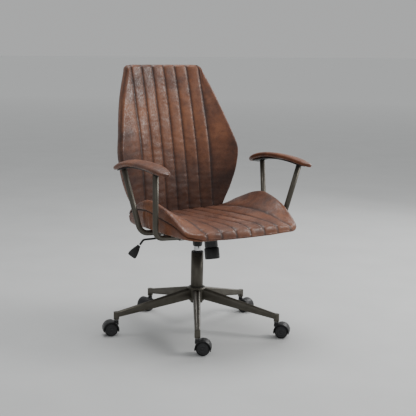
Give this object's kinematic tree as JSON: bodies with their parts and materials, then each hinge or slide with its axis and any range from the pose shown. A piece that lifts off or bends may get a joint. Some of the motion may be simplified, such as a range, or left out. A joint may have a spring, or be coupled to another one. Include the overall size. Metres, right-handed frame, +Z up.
{
  "type": "swivel office chair",
  "caption": "Swivel office chair with a channelled leather seat and tall shaped back, curved padded arms, gas lift, tilt mechanism and a star base on twin-wheel casters.",
  "frame": {"origin": "middle of the whole chair's box, on the floor", "axes": "+Z up, the chair faces -Y, and the sitter's right side is -X"},
  "size_m": [0.6851, 0.6755, 0.9775],
  "materials": {
    "bronze_paint": "satin warm grey-bronze paint",
    "black_plastic": "fine-grained moulded black",
    "black_steel": "satin black paint",
    "chrome": "mirror chrome",
    "zinc_steel": "zinc-plated",
    "brown_leather": "aged, mottled, semi-gloss",
    "plywood": "raw, hidden"
  },
  "bodies": {
    "base": {"base_hub": "bronze_paint", "base_leg_1": "bronze_paint", "base_leg_2": "bronze_paint", "base_leg_3": "bronze_paint", "base_leg_4": "bronze_paint", "base_leg_5": "bronze_paint", "column_tube": "bronze_paint", "column_bush": "black_plastic", "thrust_bearing": "zinc_steel"},
    "caster_1": {"caster_1_hood": "black_plastic", "caster_1_stem": "zinc_steel", "caster_1_axle": "zinc_steel"},
    "caster_1_wheel_a_body": {"caster_1_wheel_a": "black_plastic"},
    "caster_1_wheel_b_body": {"caster_1_wheel_b": "black_plastic"},
    "caster_2": {"caster_2_hood": "black_plastic", "caster_2_stem": "zinc_steel", "caster_2_axle": "zinc_steel"},
    "caster_2_wheel_a_body": {"caster_2_wheel_a": "black_plastic"},
    "caster_2_wheel_b_body": {"caster_2_wheel_b": "black_plastic"},
    "caster_3": {"caster_3_hood": "black_plastic", "caster_3_stem": "zinc_steel", "caster_3_axle": "zinc_steel"},
    "caster_3_wheel_a_body": {"caster_3_wheel_a": "black_plastic"},
    "caster_3_wheel_b_body": {"caster_3_wheel_b": "black_plastic"},
    "caster_4": {"caster_4_hood": "black_plastic", "caster_4_stem": "zinc_steel", "caster_4_axle": "zinc_steel"},
    "caster_4_wheel_a_body": {"caster_4_wheel_a": "black_plastic"},
    "caster_4_wheel_b_body": {"caster_4_wheel_b": "black_plastic"},
    "caster_5": {"caster_5_hood": "black_plastic", "caster_5_stem": "zinc_steel", "caster_5_axle": "zinc_steel"},
    "caster_5_wheel_a_body": {"caster_5_wheel_a": "black_plastic"},
    "caster_5_wheel_b_body": {"caster_5_wheel_b": "black_plastic"},
    "piston": {"piston_rod": "zinc_steel"},
    "lift": {"gas_cylinder": "chrome", "tilt_housing": "black_steel", "tilt_pivot_pin": "zinc_steel", "torsion_spring": "zinc_steel"},
    "button": {"release_button": "zinc_steel"},
    "lever_slide": {"lever_sleeve": "black_plastic"},
    "lever": {"lever_rod": "black_steel", "lever_paddle": "black_plastic"},
    "knob": {"tension_knob": "black_plastic", "tension_bolt": "zinc_steel"},
    "preload": {"preload_nut": "zinc_steel"},
    "tilt": {"seat_plate": "black_steel", "seat_pan": "black_plastic", "seat_cushion": "brown_leather", "back_bar": "black_steel", "back_board": "plywood", "back_cushion": "brown_leather", "arm_tube_front_right": "bronze_paint", "arm_tube_front_left": "bronze_paint", "arm_tube_rear_right": "bronze_paint", "arm_tube_rear_left": "bronze_paint", "arm_pad_board_right": "black_plastic", "arm_pad_board_left": "black_plastic", "arm_pad_right": "brown_leather", "arm_pad_left": "brown_leather"}
  },
  "joints": [
    {"name": "caster_1_swivel", "type": "hinge", "parent": "base", "child": "caster_1", "pos_m": [-0.1498, -0.25975, 0.0595], "axis": [0, 0, 1], "continuous": true},
    {"name": "caster_1_roll_a", "type": "hinge", "parent": "caster_1", "child": "caster_1_wheel_a_body", "pos_m": [-0.1332, -0.27262, 0.02479], "axis": [-0.6129, -0.7902, 0], "continuous": true},
    {"name": "caster_1_roll_b", "type": "hinge", "parent": "caster_1", "child": "caster_1_wheel_b_body", "pos_m": [-0.1332, -0.27262, 0.02479], "axis": [-0.6129, -0.7902, 0], "continuous": true},
    {"name": "caster_2_swivel", "type": "hinge", "parent": "base", "child": "caster_2", "pos_m": [0.2136, -0.23243, 0.0595], "axis": [0, 0, 1], "continuous": true},
    {"name": "caster_2_roll_a", "type": "hinge", "parent": "caster_2", "child": "caster_2_wheel_a_body", "pos_m": [0.22856, -0.24717, 0.02479], "axis": [-0.7022, -0.712, 0], "continuous": true},
    {"name": "caster_2_roll_b", "type": "hinge", "parent": "caster_2", "child": "caster_2_wheel_b_body", "pos_m": [0.22856, -0.24717, 0.02479], "axis": [-0.7022, -0.712, 0], "continuous": true},
    {"name": "caster_3_swivel", "type": "hinge", "parent": "base", "child": "caster_3", "pos_m": [0.29991, 0.12163, 0.0595], "axis": [0, 0, 1], "continuous": true},
    {"name": "caster_3_roll_a", "type": "hinge", "parent": "caster_3", "child": "caster_3_wheel_a_body", "pos_m": [0.30879, 0.1026, 0.02479], "axis": [-0.9063, -0.4226, 0], "continuous": true},
    {"name": "caster_3_roll_b", "type": "hinge", "parent": "caster_3", "child": "caster_3_wheel_b_body", "pos_m": [0.30879, 0.1026, 0.02479], "axis": [-0.9063, -0.4226, 0], "continuous": true},
    {"name": "caster_4_swivel", "type": "hinge", "parent": "base", "child": "caster_4", "pos_m": [-0.01014, 0.31313, 0.0595], "axis": [0, 0, 1], "continuous": true},
    {"name": "caster_4_roll_a", "type": "hinge", "parent": "caster_4", "child": "caster_4_wheel_a_body", "pos_m": [-0.03043, 0.30769, 0.02479], "axis": [-0.2588, 0.9659, 0], "continuous": true},
    {"name": "caster_4_roll_b", "type": "hinge", "parent": "caster_4", "child": "caster_4_wheel_b_body", "pos_m": [-0.03043, 0.30769, 0.02479], "axis": [-0.2588, 0.9659, 0], "continuous": true},
    {"name": "caster_5_swivel", "type": "hinge", "parent": "base", "child": "caster_5", "pos_m": [-0.28808, 0.07742, 0.0595], "axis": [0, 0, 1], "continuous": true},
    {"name": "caster_5_roll_a", "type": "hinge", "parent": "caster_5", "child": "caster_5_wheel_a_body", "pos_m": [-0.30789, 0.08439, 0.02479], "axis": [0.3322, 0.9432, 0], "continuous": true},
    {"name": "caster_5_roll_b", "type": "hinge", "parent": "caster_5", "child": "caster_5_wheel_b_body", "pos_m": [-0.30789, 0.08439, 0.02479], "axis": [0.3322, 0.9432, 0], "continuous": true},
    {"name": "seat_swivel", "type": "hinge", "parent": "base", "child": "piston", "pos_m": [0.0131, 0.004, 0.1035], "axis": [0, 0, 1], "continuous": true},
    {"name": "seat_lift", "type": "slide", "parent": "piston", "child": "lift", "axis": [0, 0, 1], "range_m": [0, 0.1]},
    {"name": "seat_tilt", "type": "hinge", "parent": "lift", "child": "tilt", "pos_m": [0.0131, -0.051, 0.3755], "axis": [-1, 0, 0], "range_deg": [0, 12], "stiffness_Nm_per_rad": 120, "springref_deg": -28.65},
    {"name": "lever_pull", "type": "slide", "parent": "lift", "child": "lever_slide", "axis": [-1, 0, 0], "range_m": [0, 0.008]},
    {"name": "lever_lift", "type": "hinge", "parent": "lever_slide", "child": "lever", "pos_m": [-0.0369, 0.004, 0.3645], "axis": [0, 1, 0], "range_deg": [0, 5], "stiffness_Nm_per_rad": 3, "springref_deg": -17.19},
    {"name": "button_press", "type": "slide", "parent": "lift", "child": "button", "axis": [0, 0, -1], "range_m": [0, 0.0044]},
    {"name": "knob_turn", "type": "hinge", "parent": "lift", "child": "knob", "pos_m": [0.0131, -0.0852, 0.3555], "axis": [0, -0.2079, -0.9781], "range_deg": [0, 720]},
    {"name": "preload_travel", "type": "slide", "parent": "lift", "child": "preload", "axis": [0, 0.2079, 0.9781], "range_m": [0, 0.0031]}
  ],
  "couplings": [
    {"joint": "button_press", "follows": "lever_lift", "m_per_rad": 0.05},
    {"joint": "preload_travel", "follows": "knob_turn", "m_per_rad": 0.00023873}
  ]
}
